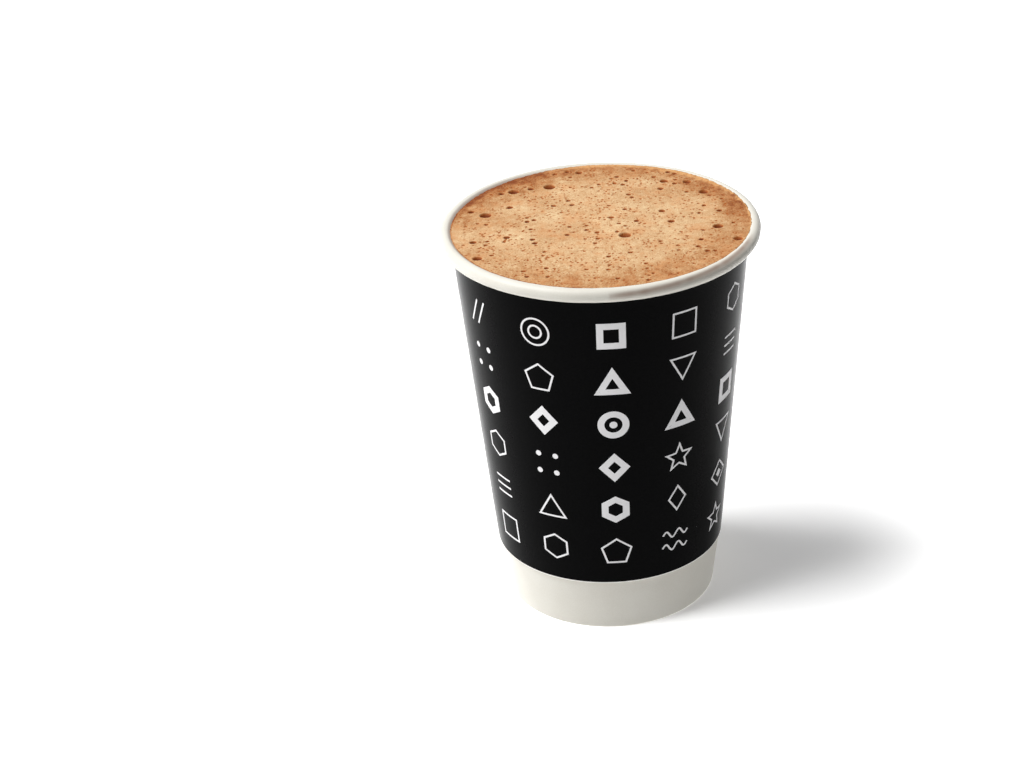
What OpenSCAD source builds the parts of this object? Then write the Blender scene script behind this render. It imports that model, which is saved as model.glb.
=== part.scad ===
// A wrapped paper cup, filled to the brim with frothed hot chocolate.
// The origin is the middle of the foot, +Z is up, and the front of the wrap faces -Y.

/* [Cup] */
// Diameter across the rolled rim
rim_d = 90; // [78:0.5:110]
// Diameter across the foot, where it stands
foot_d = 60.7; // [50:0.1:74]
// Height to the top of the rim
cup_h = 114.5; // [80:0.5:160]
// Thickness of the cup's board
board_t = 0.35; // [0.25:0.01:0.5]
// Height of the bare foot below the wrap, where the wall is steeper
foot_h = 16.6; // [12:0.1:24]
// Growth of the wall's radius over the height of the foot
foot_flare = 2.25; // [1:0.05:3]

/* [Rim] */
// Diameter of the rim's rolled tube
roll_d = 3.9; // [3:0.1:5]
// Angle that the board turns through, up from the wall, over the top and back under
roll_turn = 325; // [270:1:335]

/* [Base] */
// Height of the base's underside above the surface that the cup stands on
recess_h = 7; // [5:0.1:10]
// Radius of the base's bent edge
bend_r = 0.8; // [0.6:0.05:1.2]
// Space between the hem's upper edge and the base's underside
hem_gap = 0.8; // [0.5:0.05:2]
// Chamfer on both edges of the fold that the cup stands on
fold_chamfer = 0.2; // [0.1:0.05:0.3]

/* [Wrap] */
// Thickness of the wrap's board
wrap_t = 0.4; // [0.3:0.01:0.6]
// Width of the wrap's lapped seam, at its lower edge
lap_w = 7; // [4:0.5:12]
// Where the seam's middle is, turned from the front of the wrap, in degrees
lap_at = 165; // [120:1:240]
// Space between the wrap's upper edge and the rolled rim above it
tuck_gap = 0.1; // [0.05:0.05:0.5]

/* [Drink] */
// Depth of the froth's level below the top of the rim
brim_gap = 0.2; // [0.1:0.1:60]

/* [Hidden] */
$fn = 96;

// Space between two layers that lie against each other
layer_gap = 0.03;

// Centre of the rolled rim's tube, as a radius and a height
roll_r = roll_d / 2;
roll_c = rim_d / 2 - roll_r;
roll_z = cup_h - roll_r;

// The wall's outer radius where the foot ends, and where the roll begins
shoulder_r = foot_d / 2 + foot_flare;
neck_r = rim_d / 2 - roll_d + board_t;

// Radius growth for each millimetre of height, along the foot and above it
foot_slope = foot_flare / foot_h;
wall_slope = (neck_r - shoulder_r) / (roll_z - foot_h);

// How much narrower each layer inside the wall is, to its outer face
skirt_in = board_t + layer_gap;
hem_in = skirt_in + board_t + layer_gap;
hem_top = recess_h - hem_gap;

base_top = recess_h + board_t;
drink_level = cup_h - brim_gap;

// How much wider than the wall's outer face the wrap's faces are
wrap_in = layer_gap;
wrap_mid = wrap_in + wrap_t / 2;
wrap_out = wrap_in + wrap_t;
lap_out = wrap_out + wrap_t;
lap_angle = lap_w / (shoulder_r + lap_out) * 180 / PI;

// The wall's outer radius at a height
function wall_r(z) = z < foot_h
    ? foot_d / 2 + foot_slope * z
    : shoulder_r + wall_slope * (z - foot_h);

// How high a layer whose outer face is grown from the wall can reach below the roll
function tuck_z(grown) =
    let (inset = roll_c - neck_r - grown)
    roll_z - sqrt(roll_r * roll_r - inset * inset) - tuck_gap;

// Wall, the fold it stands on, and the hem turned up inside it
module wall_profile() {
    polygon([
        [wall_r(0) - fold_chamfer, 0],
        [wall_r(fold_chamfer), fold_chamfer],
        [wall_r(foot_h), foot_h],
        [wall_r(roll_z), roll_z],
        [wall_r(roll_z) - board_t, roll_z],
        [wall_r(foot_h) - board_t, foot_h],
        [wall_r(board_t) - board_t, board_t],
        [wall_r(board_t) - hem_in, board_t],
        [wall_r(hem_top) - hem_in, hem_top],
        [wall_r(hem_top) - hem_in - board_t, hem_top],
        [wall_r(fold_chamfer) - hem_in - board_t, fold_chamfer],
        [wall_r(0) - hem_in - board_t + fold_chamfer, 0]
    ]);
}

// Board rolled outward into a tube, whose end stops short of the wall
module roll_profile() {
    wedge = 3 * roll_r;
    translate([roll_c, roll_z])
        difference() {
            circle(roll_r);
            circle(roll_r - board_t);
            polygon([
                [0, 0],
                [-wedge, 0],
                wedge * [cos(180 - roll_turn), sin(180 - roll_turn)]
            ]);
        }
}

// All that lies below the base's face: its flat top, its bent edge and its skirt.
// inset is from the wall's outer face, and low is where the profile is cut off.
module plug_profile(top, inset, bend, low) {
    lean = atan(foot_slope);
    bend_z = top - bend;
    bend_c = wall_r(bend_z) - inset - bend / cos(lean);
    tangent_z = bend_z - bend * sin(lean);
    translate([0, low])
        square([bend_c, top - low]);
    polygon([
        [0, low],
        [wall_r(low) - inset, low],
        [wall_r(tangent_z) - inset, tangent_z],
        [bend_c, bend_z],
        [0, bend_z]
    ]);
    translate([bend_c, bend_z])
        circle(bend);
}

// A ring of board against the wall, between two growths of the wall's radius
module band_profile(inner, outer, low, high) {
    polygon([
        [wall_r(low) + inner, low],
        [wall_r(low) + outer, low],
        [wall_r(high) + outer, high],
        [wall_r(high) + inner, high]
    ]);
}

module paper_cup() {
    color("ivory")
        rotate_extrude()
            union() {
                wall_profile();
                roll_profile();
            }
}

module cup_base() {
    skirt_low = board_t + layer_gap;
    color("floralwhite")
        rotate_extrude()
            difference() {
                plug_profile(base_top, skirt_in, bend_r, skirt_low);
                plug_profile(recess_h, skirt_in + board_t, bend_r - board_t, 0);
            }
}

module outer_wrap() {
    color([0.05, 0.05, 0.05])
        union() {
            rotate_extrude()
                band_profile(wrap_in, wrap_out, foot_h, tuck_z(wrap_out));
            rotate([0, 0, lap_at - 90 - lap_angle / 2])
                rotate_extrude(angle = lap_angle)
                    band_profile(wrap_mid, lap_out, foot_h, tuck_z(lap_out));
        }
}

module hot_chocolate() {
    inside = board_t + layer_gap;
    drink_low = recess_h;
    color("peru")
        rotate_extrude()
            difference() {
                polygon([
                    [0, drink_low],
                    [wall_r(drink_low) - inside, drink_low],
                    [wall_r(foot_h) - inside, foot_h],
                    [wall_r(roll_z) - inside, roll_z],
                    [roll_c, roll_z],
                    [roll_c, drink_level],
                    [0, drink_level]
                ]);
                translate([roll_c, roll_z])
                    circle(roll_r + layer_gap);
                plug_profile(base_top + layer_gap, board_t, bend_r + layer_gap, 0);
            }
}

paper_cup();
cup_base();
outer_wrap();
hot_chocolate();
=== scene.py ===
"""Looks of a wrapped paper cup filled to the brim with frothed hot chocolate.

Every size is in millimetres, in the frame's own axes: +Z is up and the front of the wrap faces -Y.
Turns round the cup are in degrees from the front, growing towards +X.
"""

import math

import bpy
import numpy as np
from mathutils import Matrix, Vector, noise


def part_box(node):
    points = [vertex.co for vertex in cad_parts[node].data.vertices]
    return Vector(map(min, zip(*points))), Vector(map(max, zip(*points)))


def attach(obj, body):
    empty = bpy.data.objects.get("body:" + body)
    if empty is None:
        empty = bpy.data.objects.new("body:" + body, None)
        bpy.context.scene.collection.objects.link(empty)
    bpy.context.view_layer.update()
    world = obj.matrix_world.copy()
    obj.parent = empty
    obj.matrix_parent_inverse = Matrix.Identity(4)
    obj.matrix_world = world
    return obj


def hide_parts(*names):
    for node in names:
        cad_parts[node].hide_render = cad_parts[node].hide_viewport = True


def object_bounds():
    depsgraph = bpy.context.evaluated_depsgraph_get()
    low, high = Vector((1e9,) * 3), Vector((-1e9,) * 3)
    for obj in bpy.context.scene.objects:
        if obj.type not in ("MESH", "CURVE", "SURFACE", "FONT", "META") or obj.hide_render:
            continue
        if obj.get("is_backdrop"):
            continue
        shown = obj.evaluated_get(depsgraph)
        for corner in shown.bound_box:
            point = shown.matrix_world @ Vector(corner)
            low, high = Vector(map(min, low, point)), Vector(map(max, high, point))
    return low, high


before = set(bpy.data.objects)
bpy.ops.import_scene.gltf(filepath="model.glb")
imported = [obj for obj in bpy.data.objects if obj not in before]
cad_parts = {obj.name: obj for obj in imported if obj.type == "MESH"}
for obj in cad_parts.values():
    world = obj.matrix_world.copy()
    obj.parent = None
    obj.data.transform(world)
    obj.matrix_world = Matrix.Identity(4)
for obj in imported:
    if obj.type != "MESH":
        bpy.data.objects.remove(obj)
cad_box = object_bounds()

MM = 0.001

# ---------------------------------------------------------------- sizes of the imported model

cup_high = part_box("paper_cup")[1]
wrap_low, wrap_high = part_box("outer_wrap")
drink_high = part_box("hot_chocolate")[1]
base_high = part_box("cup_base")[1]

RIM_R = cup_high.x / MM
CUP_H = cup_high.z / MM
FOOT_H = wrap_low.z / MM
WRAP_TOP = wrap_high.z / MM
BASE_TOP = base_high.z / MM
DRINK_LEVEL = drink_high.z / MM

# thicknesses of the cup's and the wrap's board, and the space between two layers
BOARD = 0.35
WRAP = 0.40
LAYER_GAP = 0.03

# the rim's rolled tube, and the degrees that its board turns through
ROLL_R = 1.95
ROLL_C = RIM_R - ROLL_R
ROLL_Z = CUP_H - ROLL_R
ROLL_TURN = 325

# the wall's outer radius at the foot, where the wrap starts, and where the roll starts
FOOT_R = 30.35
SHOULDER_R = 32.6
NECK_R = RIM_R - 2 * ROLL_R + BOARD
RECESS_H = BASE_TOP - BOARD
HEM_GAP = 0.8

# where the wrap's lapped seam is, and how wide
LAP_AT = 165
LAP_W = 7.0


def wall_r(z):
    """Outer radius of the cup's wall at a height."""
    foot = FOOT_R + (SHOULDER_R - FOOT_R) / FOOT_H * z
    body = SHOULDER_R + (NECK_R - SHOULDER_R) / (ROLL_Z - FOOT_H) * (z - FOOT_H)
    return np.where(z < FOOT_H, foot, body)


def smooth_step(low, high, value):
    t = np.clip((value - low) / (high - low), 0, 1)
    return t * t * (3 - 2 * t)


def turn_gap(turn, centre):
    """Signed degrees from centre to turn, the short way round."""
    return (turn - centre + 180) % 360 - 180


def around(turn, centre, half_width, soft):
    """1 within a half width of a turn, falling to 0 over soft degrees."""
    return 1 - smooth_step(half_width, half_width + soft, np.abs(turn_gap(turn, centre)))


def ripple(turn, waves, seed):
    """A closed wavy line round the cup, between about -1 and 1: waves is a list of counts."""
    phase = np.random.default_rng(seed).uniform(0, 2 * np.pi, len(waves))
    total = sum(np.sin(np.radians(turn) * n + p) / n ** 0.5 for n, p in zip(waves, phase))
    return total / sum(1 / n ** 0.5 for n in waves)


# ---------------------------------------------------------------- mesh helpers

# how far a cut end of board stands out past its path, and the share of it that is flat
END_EASE = 0.12
END_FLAT = 0.6


def make_mesh(name, points, faces, materials, face_material=None):
    """A smooth-shaded object from points in millimetres and a list or array of faces."""
    mesh = bpy.data.meshes.new(name)
    faces = [list(map(int, face)) for face in faces]
    mesh.from_pydata((np.asarray(points) * MM).tolist(), [], faces)
    for material in materials:
        mesh.materials.append(material)
    if face_material is not None:
        mesh.polygons.foreach_set("material_index", np.asarray(face_material, dtype=np.int32))
    mesh.polygons.foreach_set("use_smooth", np.ones(len(mesh.polygons), dtype=bool))
    mesh.update()
    piece = bpy.data.objects.new(name, mesh)
    bpy.context.collection.objects.link(piece)
    return piece


def add_attribute(piece, name, values):
    attribute = piece.data.attributes.new(name, "FLOAT", "POINT")
    attribute.data.foreach_set("value", np.asarray(values, dtype=np.float32))


def place(turn, radius, z):
    """Points at turns round the cup, as an array of x, y, z."""
    angle = np.radians(turn)
    return np.stack([radius * np.sin(angle), -radius * np.cos(angle), z + 0 * angle], axis=-1)


def grid_faces(rows, columns, close_rows, close_columns, start=0):
    """Quads of a grid whose points run along its columns first."""
    i = np.arange(rows if close_rows else rows - 1)[:, None]
    j = np.arange(columns if close_columns else columns - 1)[None, :]
    next_i = (i + 1) % rows
    next_j = (j + 1) % columns
    quad = [i * columns + j, i * columns + next_j, next_i * columns + next_j, next_i * columns + j]
    corners = [np.broadcast_to(corner, (i.size, j.size)) for corner in quad]
    return np.stack(corners, axis=-1).reshape(-1, 4) + start


def arc(centre, radius, start, end, count):
    """Points of an arc, with its angles in degrees."""
    angle = np.radians(np.linspace(start, end, count))
    return np.stack([centre[0] + radius * np.cos(angle), centre[1] + radius * np.sin(angle)], axis=1)


def line(start, end, step):
    """Points of a straight line about step apart, without its last point."""
    count = max(2, int(math.dist(start, end) / step))
    return np.linspace(start, end, count, endpoint=False)


def board_outline(path, thickness):
    """Closed outline of board of a thickness, bent along a path, with its two ends eased."""
    tangent = np.gradient(path, axis=0)
    tangent /= np.linalg.norm(tangent, axis=1)[:, None]
    side = np.stack([-tangent[:, 1], tangent[:, 0]], axis=1) * thickness / 2
    first = path[0] - tangent[0] * thickness * END_EASE
    last = path[-1] + tangent[-1] * thickness * END_EASE
    first_side, last_side = side[0] * END_FLAT, side[-1] * END_FLAT
    out = [[first + first_side], path + side, [last + last_side]]
    back = [[last - last_side], (path - side)[::-1], [first - first_side]]
    return np.concatenate(out + back)


# ---------------------------------------------------------------- materials


def new_material(name):
    """A material with its principled shader, ready for links."""
    material = bpy.data.materials.new(name)
    material.use_nodes = True
    tree = material.node_tree
    shader = next(node for node in tree.nodes if node.type == "BSDF_PRINCIPLED")
    return material, tree, shader


def add_node(tree, kind, inputs=None, **settings):
    """A node whose inputs are set to values or linked from sockets."""
    node = tree.nodes.new(kind)
    for key, value in settings.items():
        setattr(node, key, value)
    for key, value in (inputs or {}).items():
        if isinstance(value, bpy.types.NodeSocket):
            tree.links.new(value, node.inputs[key])
        else:
            node.inputs[key].default_value = value
    return node


def object_place(tree):
    return add_node(tree, "ShaderNodeTexCoord").outputs["Object"]


def noise_value(tree, place_socket, scale, detail=2.0, roughness=0.5):
    inputs = {"Vector": place_socket, "Scale": scale, "Detail": detail, "Roughness": roughness}
    return add_node(tree, "ShaderNodeTexNoise", inputs).outputs["Fac"]


def remap(tree, value, low, high, to_low=0.0, to_high=1.0):
    inputs = {"Value": value, "From Min": low, "From Max": high}
    inputs |= {"To Min": to_low, "To Max": to_high}
    return add_node(tree, "ShaderNodeMapRange", inputs).outputs["Result"]


def maths(tree, operation, first, second):
    return add_node(tree, "ShaderNodeMath", {0: first, 1: second}, operation=operation).outputs[0]


def mix_colour(tree, factor, first, second):
    node = add_node(tree, "ShaderNodeMix", data_type="RGBA")
    for index, value in ((0, factor), (6, first), (7, second)):
        if isinstance(value, bpy.types.NodeSocket):
            tree.links.new(value, node.inputs[index])
        else:
            node.inputs[index].default_value = value
    return node.outputs[2]


def bump(tree, shader, height, distance, strength=1.0):
    """Relief in the shader's normal, distance metres deep."""
    inputs = {"Height": height, "Distance": distance, "Strength": strength}
    tree.links.new(add_node(tree, "ShaderNodeBump", inputs).outputs["Normal"], shader.inputs["Normal"])


def srgb(red, green, blue):
    """A linear colour from 0-255 screen values."""
    def linear(value):
        value /= 255
        return value / 12.92 if value <= 0.04045 else ((value + 0.055) / 1.055) ** 2.4
    return (linear(red), linear(green), linear(blue), 1.0)


WHITE = (1, 1, 1, 1)
# painted shade for the rim: along its crease at the front right and on its inner lip at the left
BOARD_PAINTED_SHADE = srgb(150, 122, 106)
PRINT_BLACKS = [(0.0014, 0.0014, 0.0015, 1), (0.0026, 0.0026, 0.0028, 1)]

# froth from thick to thin, then its warm patches, its lit edge as a painted glow, and its bubbles, whose
# colour is partly painted shade
FROTH_TONES = [
    srgb(229, 201, 157), srgb(213, 177, 134), srgb(192, 147, 102), srgb(169, 110, 64), srgb(130, 67, 32),
]
FROTH_WARM = srgb(207, 146, 95)
FROTH_PAINTED_GLOW = srgb(228, 175, 117)
# the bubbles' pits, shallow and deep: partly the drink's own browner colour, and the deep one partly
# painted shade
PIT_SHALLOW = srgb(166, 94, 44)
PIT_DEEP = srgb(110, 50, 17)


def board_material(name, colour, shade, roughness, ior):
    """Coated paper board: faint fibres, cloudy tone and a slightly uneven surface."""
    material, tree, shader = new_material(name)
    where = object_place(tree)
    fibres = noise_value(tree, where, 2600, 3, 0.65)
    clouds = noise_value(tree, where, 90, 3, 0.55)
    tone = remap(tree, maths(tree, "ADD", fibres, clouds), 0.75, 1.25)
    # painted shade read from the cup's attribute: along the rim's crease and on its left inner lip
    painted_shade = add_node(tree, "ShaderNodeAttribute", attribute_name="painted_shade").outputs["Fac"]
    mixed = mix_colour(tree, tone, shade, colour)
    mixed = mix_colour(tree, maths(tree, "MULTIPLY", painted_shade, 0.8), mixed, BOARD_PAINTED_SHADE)
    tree.links.new(mixed, shader.inputs["Base Color"])
    rough = remap(tree, fibres, 0.3, 0.7, roughness - 0.06, roughness + 0.06)
    tree.links.new(rough, shader.inputs["Roughness"])
    shader.inputs["IOR"].default_value = ior
    bump(tree, shader, fibres, 0.012 * MM)
    return material


def wrap_material():
    """Near-black satin print over board."""
    material, tree, shader = new_material("satin_black_print")
    where = object_place(tree)
    grain = noise_value(tree, where, 1800, 2, 0.6)
    clouds = noise_value(tree, where, 45, 3, 0.5)
    black = mix_colour(tree, remap(tree, grain, 0.3, 0.7), *PRINT_BLACKS)
    tree.links.new(black, shader.inputs["Base Color"])
    tree.links.new(remap(tree, clouds, 0.3, 0.7, 0.18, 0.25), shader.inputs["Roughness"])
    shader.inputs["IOR"].default_value = 1.068
    shader.inputs["Sheen Weight"].default_value = 0.14
    shader.inputs["Sheen Roughness"].default_value = 0.22
    bump(tree, shader, grain, 0.004 * MM)
    return material


def spots(tree, where, scale, fewest, size):
    """Round specks, 0 to 1: one to a cell of a random pattern, and none in a share of the cells."""
    cells = add_node(tree, "ShaderNodeTexVoronoi", {"Vector": where, "Scale": scale})
    pick = add_node(tree, "ShaderNodeSeparateColor", {"Color": cells.outputs["Color"]}).outputs["Red"]
    radius = remap(tree, pick, fewest, 1.0, 0.0, size)
    return remap(tree, maths(tree, "SUBTRACT", radius, cells.outputs["Distance"]), -0.04, 0.06)


def froth_material():
    """Milk froth: pale where it is thick, browner in its bubbles and by the rim, with painted shade deep in
    its pits, a thin dark line along its left edge that is partly painted shadow of the rim, and a painted
    amber glow where light shines through its thin edge.
    """
    material, tree, shader = new_material("milk_froth")
    where = object_place(tree)
    tone, pit, painted_glow = (add_node(tree, "ShaderNodeAttribute", attribute_name=name).outputs["Fac"]
                        for name in ("tone", "pit", "painted_glow"))
    grain = noise_value(tree, where, 2300, 2, 0.6)
    warmth = noise_value(tree, where, 190, 5, 0.75)
    tone = maths(tree, "ADD", tone, remap(tree, grain, 0.25, 0.75, -0.24, 0.24))
    ramp = add_node(tree, "ShaderNodeValToRGB", {"Fac": tone})
    first, last = ramp.color_ramp.elements
    first.position, first.color = 0.0, FROTH_TONES[0]
    last.position, last.color = 1.0, FROTH_TONES[-1]
    for number, colour in enumerate(FROTH_TONES[1:-1], 1):
        ramp.color_ramp.elements.new(number / (len(FROTH_TONES) - 1)).color = colour
    colour = mix_colour(tree, remap(tree, warmth, 0.48, 0.66, 0, 0.55), ramp.outputs["Color"], FROTH_WARM)
    # painted glow of light shining through the froth's thin edge
    colour = mix_colour(tree, painted_glow, colour, FROTH_PAINTED_GLOW)
    small = maths(tree, "MAXIMUM", spots(tree, where, 640, 0.5, 0.34), spots(tree, where, 1300, 0.4, 0.40))
    crowd = remap(tree, noise_value(tree, where, 110, 3, 0.6), 0.42, 0.60, 0.25, 0.95)
    colour = mix_colour(tree, maths(tree, "MULTIPLY", small, crowd), colour, PIT_SHALLOW)
    # the pits' darkness, which grows with their depth: partly painted shade
    colour = mix_colour(tree, remap(tree, pit, 0.0, 0.35), colour, PIT_SHALLOW)
    colour = mix_colour(tree, remap(tree, pit, 0.35, 0.95), colour, PIT_DEEP)
    tree.links.new(colour, shader.inputs["Base Color"])
    shader.inputs["Roughness"].default_value = 0.55
    shader.inputs["IOR"].default_value = 1.18
    bump(tree, shader, maths(tree, "SUBTRACT", grain, small), 0.07 * MM, 0.8)
    return material


def floor_material():
    material, _, shader = new_material("pale_floor")
    shader.inputs["Base Color"].default_value = (0.96, 0.96, 0.96, 1)
    shader.inputs["Roughness"].default_value = 0.9
    shader.inputs["IOR"].default_value = 1.2
    shader.inputs["Emission Color"].default_value = WHITE
    shader.inputs["Emission Strength"].default_value = 0.13
    return material


white_board = board_material("white_board", srgb(226, 223, 213), srgb(220, 216, 205), 0.42, 1.4)
base_board = board_material("base_board", srgb(244, 241, 232), srgb(232, 228, 217), 0.7, 1.35)
print_white = board_material("print_white", srgb(248, 247, 248), srgb(243, 242, 243), 0.45, 1.25)
raw_board = board_material("cut_board", srgb(255, 253, 248), srgb(248, 245, 238), 0.8, 1.3)
black_print = wrap_material()
froth_look = froth_material()

# ---------------------------------------------------------------- paper cup

CUP_SEGMENTS = 360

# where the cup's own side seam is, and how wide its lap is, in degrees
SEAM_AT = -128
SEAM_W = 6.5

# half the height over which the wall bends from the foot to the body
KNEE = 1.6

# the depth of the rim's crease, and how much the uneven rim is let down to stay under the cup's height
CREASE_DEPTH = 0.14
RIM_DROP = 0.05


def cup_path():
    """Centreline of the cup's board: up the hem's far side, round the fold, up the wall, over the roll."""
    half = BOARD / 2
    hem_in = 2 * (BOARD + LAYER_GAP)
    fold_r = hem_in / 2
    fold_z = fold_r + half
    hem_top = RECESS_H - HEM_GAP
    fold_c = float(wall_r(fold_z)) - half - fold_r
    hem = line((float(wall_r(hem_top)) - half - hem_in, hem_top), (fold_c - fold_r, fold_z), 1.0)
    fold = arc((fold_c, fold_z), fold_r, 180, 360, 12)
    bend_z = np.linspace(FOOT_H - KNEE, FOOT_H + KNEE, 8)
    bend = np.stack([wall_r(bend_z) - half, bend_z], axis=1)
    foot = line(fold[-1], bend[0], 1.2)[1:]
    body = line(bend[-1], (ROLL_C - ROLL_R + half, ROLL_Z), 2.5)[1:]
    roll = arc((ROLL_C, ROLL_Z), ROLL_R - half, 180, 180 - ROLL_TURN, 54)
    return np.concatenate([hem, fold, foot, bend, body, roll])


def seam_height(turn):
    """How far the board stands out where its two ends lap, from 0 to 1."""
    offset = turn_gap(turn, SEAM_AT)
    rise = smooth_step(-SEAM_W - 3, -SEAM_W + 1, offset)
    return np.where(offset > 0, 0, rise)


def roll_climb(radius, z):
    """Degrees round the roll's tube from its outermost line: 90 is its top."""
    return np.degrees(np.arctan2(z - ROLL_Z, radius - ROLL_C))


def rim_crease(turn, radius, z):
    """A long shallow crease that climbs the roll's face at the front right, from 0 to 1."""
    off_line = roll_climb(radius, z) - 12 - 0.95 * turn
    on_roll = (radius > ROLL_C) & (z > ROLL_Z - 1)
    return on_roll * around(turn, 34, 27, 14) * np.exp(-(off_line / 24) ** 2)


def lip_painted_shade(turn, radius, z):
    """Painted shade on the rim's inner side at the left, tinted brown like a reflection of the froth, from
    0 to 1.
    """
    return (z > ROLL_Z) * around(turn, -95, 45, 30) * smooth_step(100, 120, roll_climb(radius, z))


def cup_offsets(turn, radius, z):
    """Radial and vertical unevenness of the cup's board."""
    rim = smooth_step(CUP_H - 9, CUP_H - 2, z)
    foot = 1 - smooth_step(FOOT_H - 1.5, FOOT_H, z)
    radial = rim * (0.07 * ripple(turn, [3, 5, 9, 17], 11) + 0.025 * ripple(turn, [31, 43, 67], 12))
    radial = radial + seam_height(turn) * (0.10 * rim + 0.22 * foot * smooth_step(0.2, 1.5, z))
    radial = radial - CREASE_DEPTH * rim_crease(turn, radius, z)
    vertical = rim * (0.05 * ripple(turn, [2, 4, 7, 13], 13) + 0.02 * ripple(turn, [29, 41, 59], 14))
    return radial, vertical - RIM_DROP * rim


def build_cup():
    """The cup's bent board turned round its axis, uneven, with its crease, and with painted shade along the
    crease and on its left inner lip.
    """
    outline = board_outline(cup_path(), BOARD)
    radius, z = outline[None, :, 0], outline[None, :, 1]
    turn = np.arange(CUP_SEGMENTS)[:, None] * 360 / CUP_SEGMENTS
    radial, vertical = cup_offsets(turn, radius, z)
    points = place(turn + 0 * radius, radius + radial, z + vertical)
    faces = grid_faces(CUP_SEGMENTS, len(outline), True, True)
    piece = make_mesh("cup_wall", points.reshape(-1, 3), faces, [white_board])
    # painted shade along the crease
    painted_shade = rim_crease(turn, radius, z) * (0.9 + 0.12 * ripple(turn, [40, 61, 83], 9))
    # painted shade on the rim's inner lip at the left
    painted_shade = painted_shade + 0.6 * lip_painted_shade(turn, radius, z)
    add_attribute(piece, "painted_shade", np.clip(painted_shade, 0, 1).ravel())
    return piece


# ---------------------------------------------------------------- wrap

WRAP_SEGMENTS = 400

# how much wider than the wall the wrap's two faces are
WRAP_IN = LAYER_GAP
WRAP_OUT = WRAP_IN + WRAP

# the eased edges of the wrap, the height of bare board at its lower edge, and how low its lap's end sits
WRAP_BEVEL = 0.1
EDGE_BARE = 0.38
LAP_DROP = 0.25

LAP_TURN = math.degrees(LAP_W / SHOULDER_R)
LAP_START = LAP_AT - LAP_TURN / 2


def wrap_swell(turn, z):
    """Slow unevenness of the wrap's surface, nothing at its two edges' own radius."""
    slow = 0.05 * ripple(turn + 0.25 * z, [2, 3, 5], 21) + 0.03 * ripple(turn - 0.4 * z, [4, 7, 11], 22)
    return slow * smooth_step(FOOT_H, FOOT_H + 12, z) * (1 - smooth_step(WRAP_TOP - 12, WRAP_TOP, z))


def lap_lift(turn):
    """How far the wrap's upper end stands over its lower end; turn grows past 360 in the lap."""
    return smooth_step(LAP_START + 360 - 3.0, LAP_START + 360 - 0.2, turn) * (WRAP + LAYER_GAP / 2)


def wrap_face_r(turn, z):
    """Radius of the wrap's printed face, off the lap."""
    return wall_r(z) + WRAP_OUT + wrap_swell(turn, z)


def wrap_outline():
    """The wrap's section as heights and growths past the wall, and which of its faces are printed."""
    low_edge = FOOT_H + np.array([0, 0.4 * WRAP_BEVEL, WRAP_BEVEL, EDGE_BARE])
    high_edge = WRAP_TOP - np.array([WRAP_BEVEL, 0.4 * WRAP_BEVEL])
    z_out = np.concatenate([low_edge, np.linspace(FOOT_H + 1, WRAP_TOP - 1, 44), high_edge])
    eased = np.zeros(len(z_out))
    eased[:2] = (-WRAP_BEVEL, -0.4 * WRAP_BEVEL)
    eased[-1] = -0.6 * WRAP_BEVEL
    z_in = np.linspace(WRAP_TOP, FOOT_H, 12)
    z = np.concatenate([z_out, z_in])
    grown = np.concatenate([WRAP_OUT + eased, np.full(len(z_in), WRAP_IN)])
    number = np.arange(len(z))
    printed = (number >= len(low_edge) - 1) & (number < len(z_out) - len(high_edge))
    return z, grown, printed


def build_wrap():
    """The wrap's section swept once round the cup, and on over its own start in the lap."""
    z, grown, printed = wrap_outline()
    turn = np.linspace(LAP_START, LAP_START + 360 + LAP_TURN, WRAP_SEGMENTS)[:, None]
    lap_drop = LAP_DROP * smooth_step(LAP_START + 358, LAP_START + 360, turn)
    z_all = z[None, :] - lap_drop * smooth_step(WRAP_TOP - 3, WRAP_TOP, z[None, :])
    radius = wall_r(z_all) + grown[None, :] + wrap_swell(turn, z_all) + lap_lift(turn)
    points = place(turn + 0 * z_all, radius, z_all).reshape(-1, 3)
    faces = grid_faces(WRAP_SEGMENTS, len(z), False, True)
    end = np.arange(len(z))
    caps = [end[::-1].tolist(), (end + (WRAP_SEGMENTS - 1) * len(z)).tolist()]
    material = np.concatenate([np.tile(np.where(printed, 0, 1), WRAP_SEGMENTS - 1), [1, 1]])
    return make_mesh("wrap_board", points, faces.tolist() + caps, [black_print, raw_board], material)


# ---------------------------------------------------------------- print marks

MARK_COLUMNS = 12
MARK_ROWS = 6
BOLD_ROW = 2

# height of the highest row's middle, and of one row
ROW_TOP = 99.0
ROW_PITCH = 14.2

# usual height of a mark, and the widths of its strokes
MARK_H = 9.0
THIN = 0.56
BOLD = 1.9

# how far the ink reaches out of and into the wrap, and the longest side of its faces
INK_PROUD = 0.035
INK_SUNK = 0.03
INK_STEP = 0.7


def with_steps(loops, closed):
    """The same outlines with as many points in each, no more than INK_STEP apart."""
    loops = [np.asarray(loop, dtype=float) for loop in loops]
    pairs = [(loop, np.roll(loop, -1, axis=0)) if closed else (loop[:-1], loop[1:]) for loop in loops]
    longest = max(np.linalg.norm(ends - starts, axis=1).max() for starts, ends in pairs)
    count = math.ceil(longest / INK_STEP)
    share = np.arange(count)[None, :, None] / count
    filled = [(starts[:, None] + (ends - starts)[:, None] * share).reshape(-1, 2) for starts, ends in pairs]
    return filled if closed else [np.concatenate([fill, loop[-1:]]) for fill, loop in zip(filled, loops)]


def regular(sides, radius, turn):
    """A regular outline, counter-clockwise from a corner at a turn from the right."""
    angle = np.radians(turn + np.arange(sides) * 360 / sides)
    return np.stack([radius * np.cos(angle), radius * np.sin(angle)], axis=1)


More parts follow.
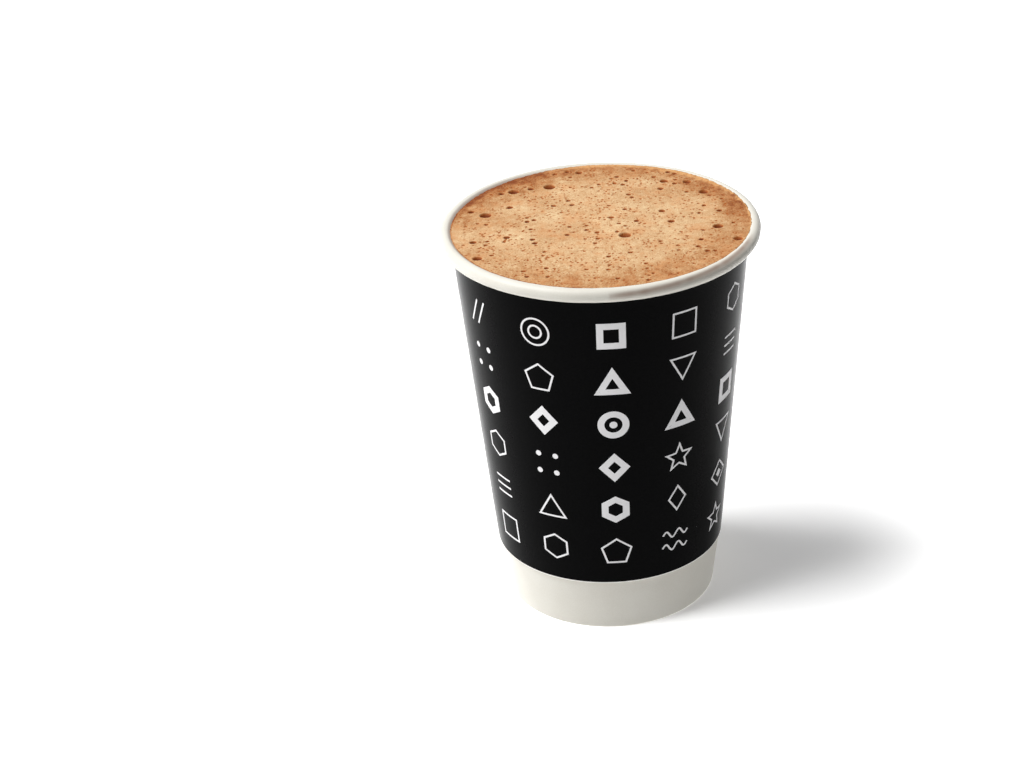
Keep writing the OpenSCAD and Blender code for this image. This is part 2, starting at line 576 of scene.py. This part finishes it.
def moved_inward(loop, distance):
    """A closed counter-clockwise outline moved inward by a distance, with mitred corners."""
    before = loop - np.roll(loop, 1, axis=0)
    after = np.roll(loop, -1, axis=0) - loop
    before /= np.linalg.norm(before, axis=1)[:, None]
    after /= np.linalg.norm(after, axis=1)[:, None]
    normal_before = np.stack([-before[:, 1], before[:, 0]], axis=1)
    normal_after = np.stack([-after[:, 1], after[:, 0]], axis=1)
    mitre = normal_before + normal_after
    mitre /= np.sum(mitre * normal_after, axis=1)[:, None]
    return loop + mitre * distance


def fit_height(loop, height):
    """An outline moved and scaled so that it is centred and height tall."""
    low, high = loop.min(axis=0), loop.max(axis=0)
    return (loop - (low + high) / 2) * height / (high[1] - low[1])


def frame_mark(loop, stroke, height=MARK_H, squeeze=1.0):
    """A line of an even width round an outline, as a pair of closed loops."""
    outer = fit_height(loop, height) * [squeeze, 1]
    return [(with_steps([outer, moved_inward(outer, stroke)], True), True)]


def disc_mark(centre, radius, sides=20):
    """A filled spot, round or with few sides, as closed loops that shrink to its middle."""
    loop = regular(sides, 1, 90)
    return [([loop * radius * share + centre for share in (1, 0.55, 0.12)], True)]


def bar_mark(start, end, stroke):
    """A straight bar, as a pair of open edges."""
    start, end = np.asarray(start, float), np.asarray(end, float)
    along = (end - start) / math.dist(start, end)
    side = np.array([-along[1], along[0]]) * stroke / 2
    return [(with_steps([[start - side, end - side], [start + side, end + side]], False), False)]


def wave_mark(middle, width, swing, stroke):
    """Two waves of a line, as a pair of open edges."""
    pace = 4 * np.pi / width
    x = np.linspace(-width / 2, width / 2, 33)
    y = middle + swing * np.sin(x * pace)
    slope = swing * pace * np.cos(x * pace)
    lean = np.sqrt(1 + slope ** 2)
    side = np.stack([slope / lean, -1 / lean], axis=1) * stroke / 2
    path = np.stack([x, y], axis=1)
    return [([path + side, path - side], False)]


def star_loop(points, depth):
    """A star's outline: depth is its inner corners' radius as a share of its points'."""
    loop = regular(2 * points, 1, 90)
    loop[1::2] *= depth
    return loop


def thin_marks():
    square = regular(4, 1, 45)
    circle = regular(40, 1, 90)
    return [
        frame_mark(regular(4, 1, 90), THIN) + disc_mark((0, 0), 1.5, 4),
        frame_mark(regular(3, 1, 90), THIN, 7.8),
        wave_mark(2.2, 8.4, 1.1, THIN) + wave_mark(-2.2, 8.4, 1.1, THIN),
        frame_mark(square, THIN, 8.0),
        bar_mark((-3.6, -3.8), (0.4, 3.8), THIN) + bar_mark((-0.4, -3.8), (3.6, 3.8), THIN),
        frame_mark(star_loop(5, 0.45), THIN, 9.0),
        frame_mark(regular(6, 1, 90), THIN, 8.8),
        frame_mark(circle, THIN, 8.8) + frame_mark(circle, THIN, 4.4),
        frame_mark(regular(3, 1, -90), THIN, 7.8),
        sum((disc_mark((x, y), 0.85) for x in (-2.6, 2.6) for y in (-2.8, 2.8)), []),
        frame_mark(regular(4, 1, 90), THIN, 9.0, 0.7),
        sum((bar_mark((-3.4, y), (3.4, y), THIN) for y in (-2.6, 0, 2.6)), []),
        frame_mark(regular(5, 1, 90), THIN, 8.6),
    ]


def bold_marks():
    return [
        frame_mark(regular(4, 1, 45), BOLD, 8.0),
        frame_mark(regular(3, 1, 90), BOLD * 0.95, 8.8),
        frame_mark(regular(40, 1, 90), BOLD, 8.8) + disc_mark((0, 0), 1.1),
        frame_mark(regular(4, 1, 90), BOLD, 9.6, 0.92),
        frame_mark(regular(6, 1, 90), BOLD, 9.0),
        frame_mark(regular(3, 1, -90), BOLD * 0.95, 8.8),
    ]


def mark_sheet():
    """Every mark as its turn, height and shapes: bold across one row and down most of the front."""
    thin, bold = thin_marks(), bold_marks()
    for column in range(MARK_COLUMNS):
        for row in range(MARK_ROWS):
            if row == BOLD_ROW or (column == 0 and row < MARK_ROWS - 1):
                shapes = bold[(row + 5 * column) % len(bold)]
            else:
                shapes = thin[(5 * row + 3 * column) % len(thin)]
            yield column * 360 / MARK_COLUMNS, ROW_TOP - row * ROW_PITCH, shapes


def lay_on_wrap(turn, z, loop, proud):
    """Places a flat outline, across and up, on the wrap's printed face."""
    height = z + loop[:, 1]
    across = turn + np.degrees(loop[:, 0] / wrap_face_r(turn, height))
    return place(across, wrap_face_r(across, height) + proud, height)


def build_marks():
    """Ink with a top, an underside and walls of its own, for every mark on the wrap."""
    points, faces, count = [], [], 0
    for turn, z, shapes in mark_sheet():
        for loops, closed in shapes:
            size = len(loops[0])
            for proud in (INK_PROUD, -INK_SUNK):
                points += [lay_on_wrap(turn, z, loop, proud) for loop in loops]
            rings = len(loops)
            top = grid_faces(rings, size, False, closed, count)
            bottom = grid_faces(rings, size, False, closed, count + rings * size)[:, ::-1]
            faces += top.tolist() + bottom.tolist()
            walls = [np.arange(size) + count]
            if closed and rings == 2:
                walls.append(np.arange(size)[::-1] + count + size)
            if closed and rings > 2:
                cap = np.arange(size) + count + (rings - 1) * size
                faces += [cap.tolist(), (cap + rings * size)[::-1].tolist()]
            if not closed:
                walls = [np.concatenate([np.arange(size), np.arange(size)[::-1] + size]) + count]
            for wall in walls:
                after = np.roll(wall, -1)
                faces += np.stack([wall, wall + rings * size, after + rings * size, after], axis=1).tolist()
            count += 2 * rings * size
    piece = make_mesh("print_marks", np.concatenate(points), faces, [print_white])
    smooth = np.zeros(len(piece.data.polygons), dtype=bool)
    piece.data.polygons.foreach_set("use_smooth", smooth)
    return piece


# ---------------------------------------------------------------- froth and drink

FROTH_CELLS = 296

# how far the froth's border reaches into the rim's board, and the drink's side into the wall
EDGE_TUCK = 0.15
SIDE_TUCK = 0.12

# how much narrower the drink's underside is than its side, for the base's bent edge
BOTTOM_EASE = 0.8

# how low the froth is where it meets the rim, how much it leans, and how much lower its back left lies
EDGE_DROP = 0.13
EDGE_LEAN = 0.16
EDGE_SAG = 0.16

# depth of a bubble's pit and height of its lip, as shares of its radius
PIT_DEPTH = 0.55
LIP_HEIGHT = 0.05

# points this near a bubble's edge move onto it, where the bubble is at least this large
SNAP_REACH = 0.14
SNAP_FROM = 0.36

# how brown the drink's hidden sides are
SIDE_TONE = 0.6


def edge_level(turn):
    """Height of the froth where it meets the rim: it clings higher on the right than on the left."""
    lean = EDGE_LEAN * np.sin(np.radians(turn + 180))
    return DRINK_LEVEL - EDGE_DROP - lean - EDGE_SAG * around(turn, -110, 30, 40)


def edge_r(turn):
    """Radius of the froth's border, just inside the rim's board."""
    return ROLL_C - np.sqrt(ROLL_R ** 2 - (edge_level(turn) - ROLL_Z) ** 2) + EDGE_TUCK


# the bubbles large enough to be told apart, listed: x, y and diameter
LARGE_BUBBLES = [
    (-31.5, 10.5, 3.5), (-23, 26, 3.2), (-12.5, 28, 3.6), (-34.5, -18.5, 2.9), (-35.5, -7.5, 2.2),
    (-10.5, 37, 1.7), (-3.5, 37, 2.3), (-18, 27.5, 2.0), (-24.5, 15, 2.1), (-12, 14.5, 1.7),
    (-26, -5.5, 2.0), (-19, -8, 1.7), (-35.5, 13.5, 2.0), (20.5, 27, 2.7), (27, 25.5, 2.5),
    (31, 17.5, 2.9), (6.5, -9.5, 3.6), (3.5, 3, 2.0), (20, -2, 2.1), (18, 5.5, 2.1),
    (32.5, -7, 3.1), (37, -16, 2.8), (34, 3.5, 1.8), (27, -15, 1.7), (19, 21.5, 2.0),
]

# the rest, scattered: how many, their least and largest radius, and the space left round each
SMALL_BUBBLES = [(92, 0.50, 0.86, 0.3), (250, 0.33, 0.50, 0.15), (600, 0.20, 0.33, 0.06)]


def disc_grid(cells):
    """Places spread evenly over a disc of radius 1, as a square grid pressed into a circle."""
    side = np.linspace(-1, 1, cells + 1)
    a, b = np.meshgrid(side, side, indexing="xy")
    wide = np.abs(a) > np.abs(b)
    radius = np.where(wide, a, b)
    safe = np.where(radius == 0, 1, radius)
    angle = np.where(wide, np.pi / 4 * b / safe, np.pi / 2 - np.pi / 4 * a / safe)
    return radius * np.cos(angle), radius * np.sin(angle)


def froth_noise(x, y, scale, octaves, seed):
    """Smooth noise over the froth, between about -1 and 1."""
    flat = zip(np.ravel(x) / scale, np.ravel(y) / scale)
    values = [noise.fractal((u, v, seed), 1.0, 2.0, octaves, noise_basis="PERLIN_ORIGINAL")
              for u, v in flat]
    return np.array(values).reshape(np.shape(x))


def scatter_bubbles():
    """Listed large bubbles, then smaller ones at random: apart, in loose clusters, more near the rim."""
    rng = np.random.default_rng(7)
    bubbles = [(x, y, d / 2) for x, y, d in LARGE_BUBBLES]
    reach = ROLL_C - ROLL_R
    for count, low, high, apart in SMALL_BUBBLES:
        added = 0
        while added < count:
            distance = (reach - high) * rng.uniform(0, 1) ** 0.47
            angle = rng.uniform(0, 2 * np.pi)
            x, y = distance * np.cos(angle), distance * np.sin(angle)
            radius = rng.uniform(low, high)
            clustered = froth_noise(x, y, 6, 2, 12.0) + rng.uniform(-0.35, 0.35) > 0
            if clustered and all(math.hypot(x - u, y - v) > radius + r + apart for u, v, r in bubbles):
                bubbles.append((x, y, radius))
                added += 1
    return bubbles


def froth_tone(x, y, turn, inset):
    """How brown the froth is: cloudy all over, browner near the rim, most of all at the back left, with a
    thin dark line along its left edge that is partly the meniscus and partly painted shadow of the rim.
    """
    tone = 0.31 + 0.19 * froth_noise(x, y, 12, 3, 1.0) + 0.14 * froth_noise(x, y, 1.8, 3, 4.0)
    band = 0.09 + 0.34 * around(turn, 165, 66, 40) + 0.20 * around(turn, 15, 35, 40)
    tone = tone + band * (1 - smooth_step(1, 15, inset)) * (1 + 0.6 * froth_noise(x, y, 3.5, 3, 6.0))
    ragged = inset + 0.5 * froth_noise(x, y, 1.2, 2, 15.0)
    tone = tone + 0.30 * around(turn, -138, 25, 20) * (1 - smooth_step(0.9, 2.4, ragged))
    # thin dark line at the left edge: partly the meniscus, partly painted shadow cast by the rim
    return tone + 0.40 * around(turn, -95, 60, 40) * (1 - smooth_step(0.1, 0.35, inset))


def froth_painted_glow(x, y, turn, inset):
    """Where light glows through the froth's thin edge, on the side away from the lamp."""
    ragged = inset + 1.1 * froth_noise(x, y, 1.6, 3, 17.0)
    width = 0.5 + 1.6 * around(turn, 158, 22, 45)
    return 0.6 * around(turn, 135, 48, 25) * (1 - smooth_step(0.4, 1.2, ragged / width))


def press_bubbles(x, y):
    """The froth's points moved onto its bubbles' edges, with the bubbles' relief and darkness at each: the
    darkness is partly the drink's own colour and partly painted shade that deepens into each pit.
    """
    pit = np.zeros_like(x)
    relief = np.zeros_like(x)
    wobble_x, wobble_y = (0.16 * froth_noise(x, y, 1.0, 2, seed) for seed in (21.0, 23.0))
    for bx, by, radius in scatter_bubbles():
        near = np.hypot(x + wobble_x - bx, y + wobble_y - by)
        snap = (np.abs(near - radius) < SNAP_REACH) & (radius > SNAP_FROM)
        pull = np.where(snap, radius / np.maximum(near, 1e-6), 1)
        x = bx + (x - bx) * pull
        y = by + (y - by) * pull
        near = np.where(snap, radius, near)
        inside = np.clip(1 - (near / radius) ** 2, 0, 1) ** 0.5
        lip = np.exp(-((near - radius * 1.12) / (0.16 + 0.1 * radius)) ** 2)
        relief = relief - inside * radius * PIT_DEPTH + LIP_HEIGHT * radius * lip * (inside == 0)
        mottle = 1 + 0.5 * froth_noise(bx, by, 4, 2, 31.0)
        # a pit is darker the deeper and larger it is: partly the drink's colour, partly painted shade
        darkest = (0.5 + 0.5 * smooth_step(0.25, 0.95, radius)) * mottle
        full = 0.5 + 0.5 * smooth_step(0.4, 1.2, radius)
        pit = np.maximum(pit, darkest * smooth_step(0.0, full, inside))
    return x, y, relief, pit


def froth_level(x, y, turn, inset):
    """Height of the froth without its bubbles: slightly domed and swollen, and ragged along its border."""
    swell = 0.10 * froth_noise(x, y, 16, 2, 3.0) + 0.035 * froth_noise(x, y, 2.4, 3, 9.0)
    ragged = 0.13 * (1 - smooth_step(0, 0.8, inset)) * froth_noise(x, y, 1.3, 2, 27.0)
    return edge_level(turn) + smooth_step(0, 2.0, inset) * swell + 0.06 * smooth_step(8, 30, inset) + ragged


def side_rings():
    """Radius and height of the rings that the drink's side runs through, from under the rim to the base."""
    low = BASE_TOP + LAYER_GAP
    rings = [(ROLL_C - math.sqrt(ROLL_R ** 2 - rise ** 2), ROLL_Z + rise) for rise in (1.2, 0)]
    rings += [(float(wall_r(z)) - BOARD, z) for z in (0.6 * CUP_H, FOOT_H, BASE_TOP + 1.0)]
    rings.append((float(wall_r(low)) - BOARD - BOTTOM_EASE, low))
    return [(radius + SIDE_TUCK, z) for radius, z in rings]


def build_froth():
    """The froth's surface and the drink's hidden side and underside, as one closed piece."""
    u, v = disc_grid(FROTH_CELLS)
    grid_turn = np.degrees(np.arctan2(u, -v))
    x, y, relief, pit = press_bubbles(u * edge_r(grid_turn), v * edge_r(grid_turn))
    turn = np.degrees(np.arctan2(x, -y))
    inset = edge_r(turn) - EDGE_TUCK - np.hypot(x, y)
    z = froth_level(x, y, turn, inset) + relief
    tone = froth_tone(x, y, turn, inset)
    painted_glow = froth_painted_glow(x, y, turn, inset)

    rows = FROTH_CELLS + 1
    top = np.stack([x, y, z], axis=-1).reshape(-1, 3)
    faces = grid_faces(rows, rows, False, False).tolist()
    index = np.arange(rows * rows).reshape(rows, rows)
    border = np.concatenate([index[0, :-1], index[:-1, -1], index[-1, :0:-1], index[:0:-1, 0]])
    border_turn = turn.ravel()[border]
    points, last = [top], border
    for number, (radius, level) in enumerate(side_rings()):
        points.append(place(border_turn, radius, level))
        ring = np.arange(len(border)) + len(top) + number * len(border)
        faces += np.stack([last, ring, np.roll(ring, -1), np.roll(last, -1)], axis=1).tolist()
        last = ring
    faces.append(last[::-1].tolist())
    points = np.concatenate(points)
    piece = make_mesh("froth_and_drink", points, faces, [froth_look])
    rest = len(points) - len(top)
    add_attribute(piece, "pit", np.concatenate([pit.ravel(), np.zeros(rest)]))
    add_attribute(piece, "tone", np.concatenate([tone.ravel(), np.full(rest, SIDE_TONE)]))
    add_attribute(piece, "painted_glow", np.concatenate([painted_glow.ravel(), np.zeros(rest)]))
    return piece


# ---------------------------------------------------------------- stage, lights and camera

FLOOR_SIZE = 8000

# the ways from the cup in which the world is brightest, above the floor and under it
BRIGHT_WAY = (-0.2, 0.6, 0.77)
BOUNCE_WAY = (-0.3, 0, -1)

# the camera's lens and the picture's width on its sensor
LENS = 87.9
SENSOR_W = 36

# the camera's place, as a turn, a distance from the cup's axis and a height, and its yaw, pitch and roll
CAMERA_PLACE = (-3.0, 639.3, 397.9)
CAMERA_AIM = (0.605, 27.52, -3.077)


def build_floor():
    """A wide pale floor that gives the cup no light of its own: the world's bounce does that."""
    half = FLOOR_SIZE / 2
    corners = [(-half, -half, 0), (half, -half, 0), (half, half, 0), (-half, half, 0)]
    piece = make_mesh("floor", corners, [(0, 1, 2, 3)], [floor_material()])
    piece.visible_diffuse = False
    piece.visible_shadow = False
    return piece


def add_softbox(name, turn, elevation, distance, size, power, only=None):
    """A square lamp that faces the middle of the cup, at a turn round it and an angle above the floor.

    With only, its light falls on that piece alone, though the cup still casts a shadow in it.
    """
    lamp = bpy.data.lights.new(name, "AREA")
    lamp.shape = "SQUARE"
    lamp.size = size * MM
    lamp.energy = power
    lamp_object = bpy.data.objects.new(name, lamp)
    bpy.context.collection.objects.link(lamp_object)
    aim = Vector((0, 0, CUP_H / 2)) * MM
    level = distance * math.cos(math.radians(elevation))
    spot = place(np.array(turn), level, distance * math.sin(math.radians(elevation)))
    lamp_object.location = aim + Vector(spot.tolist()) * MM
    lamp_object.rotation_mode = "QUATERNION"
    lamp_object.rotation_quaternion = (lamp_object.location - aim).to_track_quat("Z", "Y")
    if only:
        lit = bpy.data.collections.new(name + "_lights")
        lit.objects.link(only)
        lamp_object.light_linking.receiver_collection = lit


def add_floor_wash(turn, level, height, cone, power):
    """A soft spot lamp straight above a place on the floor, which lights the floor and not the cup."""
    lamp = bpy.data.lights.new("floor_wash", "SPOT")
    lamp.spot_size = math.radians(cone)
    lamp.spot_blend = 1.0
    lamp.shadow_soft_size = 60 * MM
    lamp.energy = power
    lamp_object = bpy.data.objects.new("floor_wash", lamp)
    bpy.context.collection.objects.link(lamp_object)
    lamp_object.location = Vector(place(np.array(turn), level, height).tolist()) * MM


def add_world(dim, bright, bounce):
    """White surroundings, brightest above and behind the cup and dim in front of it.

    Bounce stands in for the light that the floor throws back up, with less of it on the shadow's side.
    """
    world = bpy.data.worlds.new("soft_room")
    world.use_nodes = True
    tree = world.node_tree
    background = tree.nodes["Background"]
    direction = add_node(tree, "ShaderNodeTexCoord").outputs["Generated"]
    inputs = {0: direction, 1: BRIGHT_WAY}
    facing = add_node(tree, "ShaderNodeVectorMath", inputs, operation="DOT_PRODUCT").outputs["Value"]
    inputs = {0: direction, 1: BOUNCE_WAY}
    below = add_node(tree, "ShaderNodeVectorMath", inputs, operation="DOT_PRODUCT").outputs["Value"]
    background.inputs["Color"].default_value = WHITE
    room = remap(tree, facing, -0.2, 0.9, dim, bright)
    strength = maths(tree, "ADD", room, remap(tree, below, 0.0, 0.7, 0.0, bounce))
    tree.links.new(strength, background.inputs["Strength"])
    bpy.context.scene.world = world


def add_camera():
    """Camera in front of the cup and above it, looking down at its middle."""
    camera = bpy.data.cameras.new("camera")
    camera.lens = LENS
    camera.sensor_width = SENSOR_W
    camera.clip_start = 10 * MM
    camera.clip_end = 20
    camera_object = bpy.data.objects.new("camera", camera)
    bpy.context.collection.objects.link(camera_object)
    turn, level, height = CAMERA_PLACE
    yaw, pitch, roll = (math.radians(angle) for angle in CAMERA_AIM)
    spot = Matrix.Translation(Vector(place(np.array(turn), level, height).tolist()) * MM)
    heading = Matrix.Rotation(-yaw, 4, "Z") @ Matrix.Rotation(math.pi / 2 - pitch, 4, "X")
    camera_object.matrix_world = spot @ heading @ Matrix.Rotation(roll, 4, "Z")
    bpy.context.scene.camera = camera_object


# ---------------------------------------------------------------- assembly

cup = build_cup()
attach(cup, "root")
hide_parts("paper_cup")

wrap = build_wrap()
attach(wrap, "root")
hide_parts("outer_wrap")

marks = build_marks()
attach(marks, "root")

froth = build_froth()
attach(froth, "root")
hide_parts("hot_chocolate")

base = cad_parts["cup_base"]
base.data.materials.clear()
base.data.materials.append(base_board)

floor = build_floor()
floor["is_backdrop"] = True
add_world(dim=0.05, bright=0.57, bounce=1.45)
add_softbox("key", turn=-87, elevation=58, distance=3000, size=2000, power=105)
add_softbox("floor_key", turn=-84, elevation=50, distance=3000, size=2300, power=125, only=floor)
add_floor_wash(turn=-125, level=480, height=700, cone=60, power=14)
add_camera()
bpy.context.scene.view_settings.view_transform = "Standard"

boxes = {"cad": cad_box, "visual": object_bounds()}
{name: [list(corner) for corner in box] for name, box in boxes.items()}
